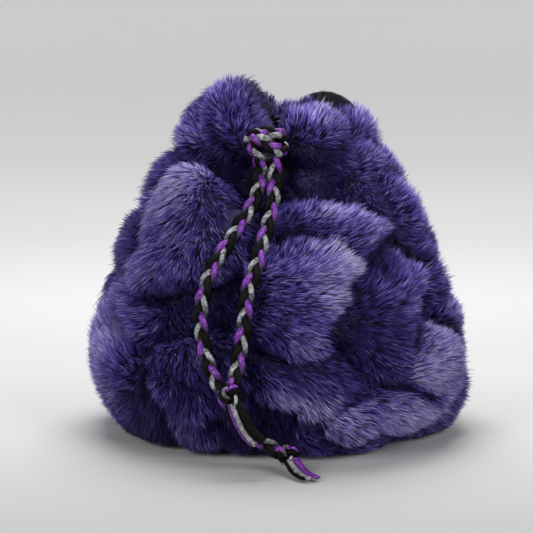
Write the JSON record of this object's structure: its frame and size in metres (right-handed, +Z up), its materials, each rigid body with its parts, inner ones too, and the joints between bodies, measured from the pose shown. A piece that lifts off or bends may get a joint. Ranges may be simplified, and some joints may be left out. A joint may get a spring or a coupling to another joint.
{
  "type": "drawstring dice bag",
  "caption": "Plush drawstring pouch with a round base, gathered mouth, cloth lining and a braided drawstring knotted at both ends.",
  "frame": {"origin": "middle of the base's underside, where the bag rests", "axes": "+Z up, -Y towards the front where the drawstring hangs, +X to the right seen from the front"},
  "size_m": [0.148, 0.1667, 0.138],
  "materials": {
    "fur": "deep violet-blue long-pile faux fur, paler lavender at the tips",
    "lining": "thin black satin lining cloth with a soft gloss",
    "thread": "dark violet sewing thread",
    "braid": "flat plait of purple, silver and black satin cord",
    "satin_purple": "purple satin cord with a bright sheen",
    "satin_silver": "silver-grey satin cord with a bright sheen",
    "satin_black": "black satin cord with a soft sheen"
  },
  "bodies": {
    "bag": {"fur_panel_front": "fur", "fur_panel_back": "fur", "fur_base": "fur", "lining_front": "lining", "lining_back": "lining", "lining_base": "lining", "side_seam_thread": "thread", "base_seam_thread": "thread"},
    "fold_1": {"mouth_fold_1": "fur", "fold_lining_1": "lining", "neck_braid_1": "braid"},
    "fold_2": {"mouth_fold_2": "fur", "fold_lining_2": "lining", "neck_braid_2": "braid"},
    "fold_3": {"mouth_fold_3": "fur", "fold_lining_3": "lining", "neck_braid_3": "braid"},
    "fold_4": {"mouth_fold_4": "fur", "fold_lining_4": "lining", "neck_braid_4": "braid"},
    "fold_5": {"mouth_fold_5": "fur", "fold_lining_5": "lining", "neck_braid_5": "braid"},
    "fold_6": {"mouth_fold_6": "fur", "fold_lining_6": "lining", "neck_braid_6": "braid"},
    "tuck_1": {"mouth_tuck_1": "fur", "tuck_lining_1": "lining"},
    "tuck_2": {"mouth_tuck_2": "fur", "tuck_lining_2": "lining"},
    "tuck_3": {"mouth_tuck_3": "fur", "tuck_lining_3": "lining"},
    "tuck_4": {"mouth_tuck_4": "fur", "tuck_lining_4": "lining"},
    "tuck_5": {"mouth_tuck_5": "fur", "tuck_lining_5": "lining"},
    "tuck_6": {"mouth_tuck_6": "fur", "tuck_lining_6": "lining"},
    "cinch": {"cinch_knot": "braid"},
    "cord_legs": {"braid_leg_left": "braid", "braid_leg_right": "braid"},
    "end_left": {"end_knot_left": "braid", "tail_left_purple": "satin_purple", "tail_left_silver": "satin_silver", "tail_left_black": "satin_black"},
    "end_right": {"end_knot_right": "braid", "tail_right_purple": "satin_purple", "tail_right_silver": "satin_silver", "tail_right_black": "satin_black"}
  },
  "joints": [
    {"name": "mouth_open", "type": "hinge", "parent": "bag", "child": "fold_1", "pos_m": [-0.033, -0.05716, 0.0724], "axis": [0.866, -0.5, 0], "range_deg": [0, 24]},
    {"name": "fold_2_turn", "type": "hinge", "parent": "bag", "child": "fold_2", "pos_m": [0.033, -0.05716, 0.0724], "axis": [0.866, 0.5, 0], "range_deg": [0, 24]},
    {"name": "fold_3_turn", "type": "hinge", "parent": "bag", "child": "fold_3", "pos_m": [0.066, 0, 0.0724], "axis": [0, 1, 0], "range_deg": [0, 24]},
    {"name": "fold_4_turn", "type": "hinge", "parent": "bag", "child": "fold_4", "pos_m": [0.033, 0.05716, 0.0724], "axis": [-0.866, 0.5, 0], "range_deg": [0, 24]},
    {"name": "fold_5_turn", "type": "hinge", "parent": "bag", "child": "fold_5", "pos_m": [-0.033, 0.05716, 0.0724], "axis": [-0.866, -0.5, 0], "range_deg": [0, 24]},
    {"name": "fold_6_turn", "type": "hinge", "parent": "bag", "child": "fold_6", "pos_m": [-0.066, 0, 0.0724], "axis": [0, -1, 0], "range_deg": [0, 24]},
    {"name": "tuck_1_turn", "type": "hinge", "parent": "bag", "child": "tuck_1", "pos_m": [0, -0.0522, 0.0732], "axis": [1, 0, 0], "range_deg": [0, 24]},
    {"name": "tuck_2_turn", "type": "hinge", "parent": "bag", "child": "tuck_2", "pos_m": [0.04521, -0.0261, 0.0732], "axis": [0.5, 0.866, 0], "range_deg": [0, 24]},
    {"name": "tuck_3_turn", "type": "hinge", "parent": "bag", "child": "tuck_3", "pos_m": [0.04521, 0.0261, 0.0732], "axis": [-0.5, 0.866, 0], "range_deg": [0, 24]},
    {"name": "tuck_4_turn", "type": "hinge", "parent": "bag", "child": "tuck_4", "pos_m": [0, 0.0522, 0.0732], "axis": [-1, 0, 0], "range_deg": [0, 24]},
    {"name": "tuck_5_turn", "type": "hinge", "parent": "bag", "child": "tuck_5", "pos_m": [-0.04521, 0.0261, 0.0732], "axis": [-0.5, -0.866, 0], "range_deg": [0, 24]},
    {"name": "tuck_6_turn", "type": "hinge", "parent": "bag", "child": "tuck_6", "pos_m": [-0.04521, -0.0261, 0.0732], "axis": [0.5, -0.866, 0], "range_deg": [0, 24]},
    {"name": "cinch_turn", "type": "hinge", "parent": "tuck_1", "child": "cinch", "pos_m": [0, -0.0266, 0.119], "axis": [1, 0, 0], "range_deg": [-24, 0]},
    {"name": "cord_swing", "type": "hinge", "parent": "cinch", "child": "cord_legs", "pos_m": [-0.004, -0.0425, 0.12], "axis": [-1, 0, 0], "range_deg": [0, 80]},
    {"name": "draw_left", "type": "slide", "parent": "cord_legs", "child": "end_left", "axis": [0, 0, 1], "range_m": [0, 0.045], "deforming": ["braid_leg_left"]},
    {"name": "draw_right", "type": "slide", "parent": "cord_legs", "child": "end_right", "axis": [0, 0, 1], "range_m": [0, 0.045], "deforming": ["braid_leg_right"]}
  ],
  "couplings": [
    {"joint": "fold_2_turn", "follows": "mouth_open", "ratio": 1},
    {"joint": "fold_3_turn", "follows": "mouth_open", "ratio": 1},
    {"joint": "fold_4_turn", "follows": "mouth_open", "ratio": 1},
    {"joint": "fold_5_turn", "follows": "mouth_open", "ratio": 1},
    {"joint": "fold_6_turn", "follows": "mouth_open", "ratio": 1},
    {"joint": "tuck_1_turn", "follows": "mouth_open", "ratio": 1},
    {"joint": "tuck_2_turn", "follows": "mouth_open", "ratio": 1},
    {"joint": "tuck_3_turn", "follows": "mouth_open", "ratio": 1},
    {"joint": "tuck_4_turn", "follows": "mouth_open", "ratio": 1},
    {"joint": "tuck_5_turn", "follows": "mouth_open", "ratio": 1},
    {"joint": "tuck_6_turn", "follows": "mouth_open", "ratio": 1},
    {"joint": "cinch_turn", "follows": "mouth_open", "ratio": -1},
    {"joint": "draw_left", "follows": "mouth_open", "m_per_rad": 0.10742},
    {"joint": "draw_right", "follows": "mouth_open", "m_per_rad": 0.10742}
  ]
}
